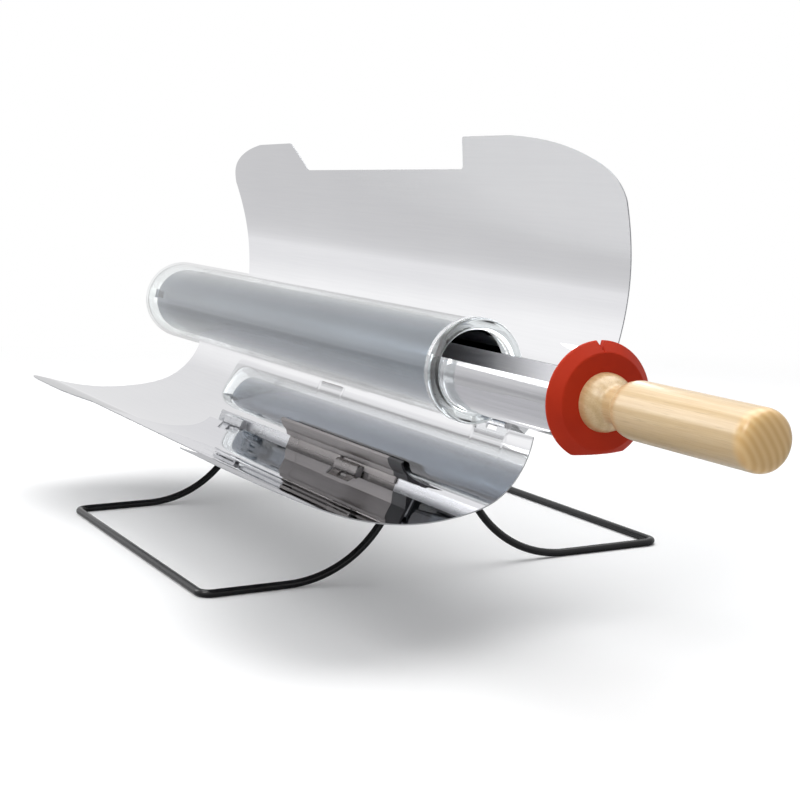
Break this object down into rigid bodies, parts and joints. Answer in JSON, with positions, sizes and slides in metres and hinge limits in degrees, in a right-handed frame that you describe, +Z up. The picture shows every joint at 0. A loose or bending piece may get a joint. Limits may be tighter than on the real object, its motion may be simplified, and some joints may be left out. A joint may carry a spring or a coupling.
{
  "type": "folding solar cooker",
  "caption": "Folding solar cooker: evacuated glass tube between two hinged curved mirrors on wire legs, with a slide-in steel food tray on a silicone stopper with a wooden handle.",
  "frame": {"origin": "on the ground, midway between the two arms of each leg, straight under the leg pivots", "axes": "+X along the tube towards the handle, -Y towards the sun, +Z up"},
  "size_m": [0.9491, 0.4104, 0.3257],
  "materials": {
    "clear_glass": "polished borosilicate",
    "absorber_glass": "selective coating under glass",
    "getter_metal": "mirror bright",
    "clip_steel": "bright spring steel",
    "mirror_sheet": "bright-rolled reflector sheet",
    "spine_aluminium": "satin anodised",
    "cradle_aluminium": "warm grey anodised",
    "hinge_aluminium": "satin",
    "fastener_steel": "zinc bright",
    "saddle_plastic": "fine matte",
    "pad_rubber": "soft matte",
    "washer_plastic": "natural nylon",
    "bracket_paint": "satin black",
    "leg_paint": "gloss black powder coat",
    "tray_steel": "bright stainless",
    "stopper_silicone": "matte silicone",
    "handle_wood": "smooth oiled beech",
    "insert_brass": "bright"
  },
  "bodies": {
    "frame": {"rail": "spine_aluminium", "cradle": "cradle_aluminium", "saddle_near": "saddle_plastic", "saddle_far": "cradle_aluminium", "saddle_pad_near": "pad_rubber", "saddle_pad_far": "pad_rubber", "saddle_screws": "fastener_steel", "bracket_near": "bracket_paint", "bracket_far": "bracket_paint", "bracket_screws": "fastener_steel", "friction_washers": "washer_plastic", "pivot_bolt_near": "fastener_steel", "pivot_bolt_far": "fastener_steel", "pivot_nuts": "fastener_steel", "hinge_pins_front": "fastener_steel", "hinge_pins_back": "fastener_steel", "outer_glass": "clear_glass", "inner_glass": "absorber_glass", "getter_clip": "clip_steel", "getter": "getter_metal"},
    "wing_front": {"reflector_front": "mirror_sheet", "hinge_leaves_front": "hinge_aluminium", "rivets_front": "fastener_steel"},
    "wing_back": {"reflector_back": "mirror_sheet", "hinge_leaves_back": "hinge_aluminium", "rivets_back": "fastener_steel"},
    "front_leg": {"leg_front": "leg_paint"},
    "back_leg": {"leg_back": "leg_paint"},
    "tray_set": {"tray": "tray_steel", "tray_tip": "tray_steel", "tray_mount": "tray_steel", "stopper": "stopper_silicone", "handle": "handle_wood", "handle_insert": "insert_brass", "handle_bolt": "fastener_steel"}
  },
  "joints": [
    {"name": "front_reflector_fold", "type": "hinge", "parent": "frame", "child": "wing_front", "pos_m": [0, -0.02483, 0.13714], "axis": [-1, 0, 0], "range_deg": [0, 55]},
    {"name": "back_reflector_fold", "type": "hinge", "parent": "frame", "child": "wing_back", "pos_m": [0, -0.01476, 0.14686], "axis": [1, 0, 0], "range_deg": [0, 55]},
    {"name": "front_leg_fold", "type": "hinge", "parent": "frame", "child": "front_leg", "pos_m": [0, 0, 0.1215], "axis": [-1, 0, 0], "range_deg": [0, 67.5]},
    {"name": "back_leg_fold", "type": "hinge", "parent": "frame", "child": "back_leg", "pos_m": [0, 0, 0.1215], "axis": [1, 0, 0], "range_deg": [0, 155.5]},
    {"name": "tray_slide", "type": "slide", "parent": "frame", "child": "tray_set", "axis": [1, 0, 0], "range_m": [-0.1435, 0.315]}
  ],
  "couplings": [
    {"joint": "front_leg_fold", "follows": "front_reflector_fold", "ratio": 1.2273},
    {"joint": "back_leg_fold", "follows": "back_reflector_fold", "ratio": 2.8273}
  ]
}
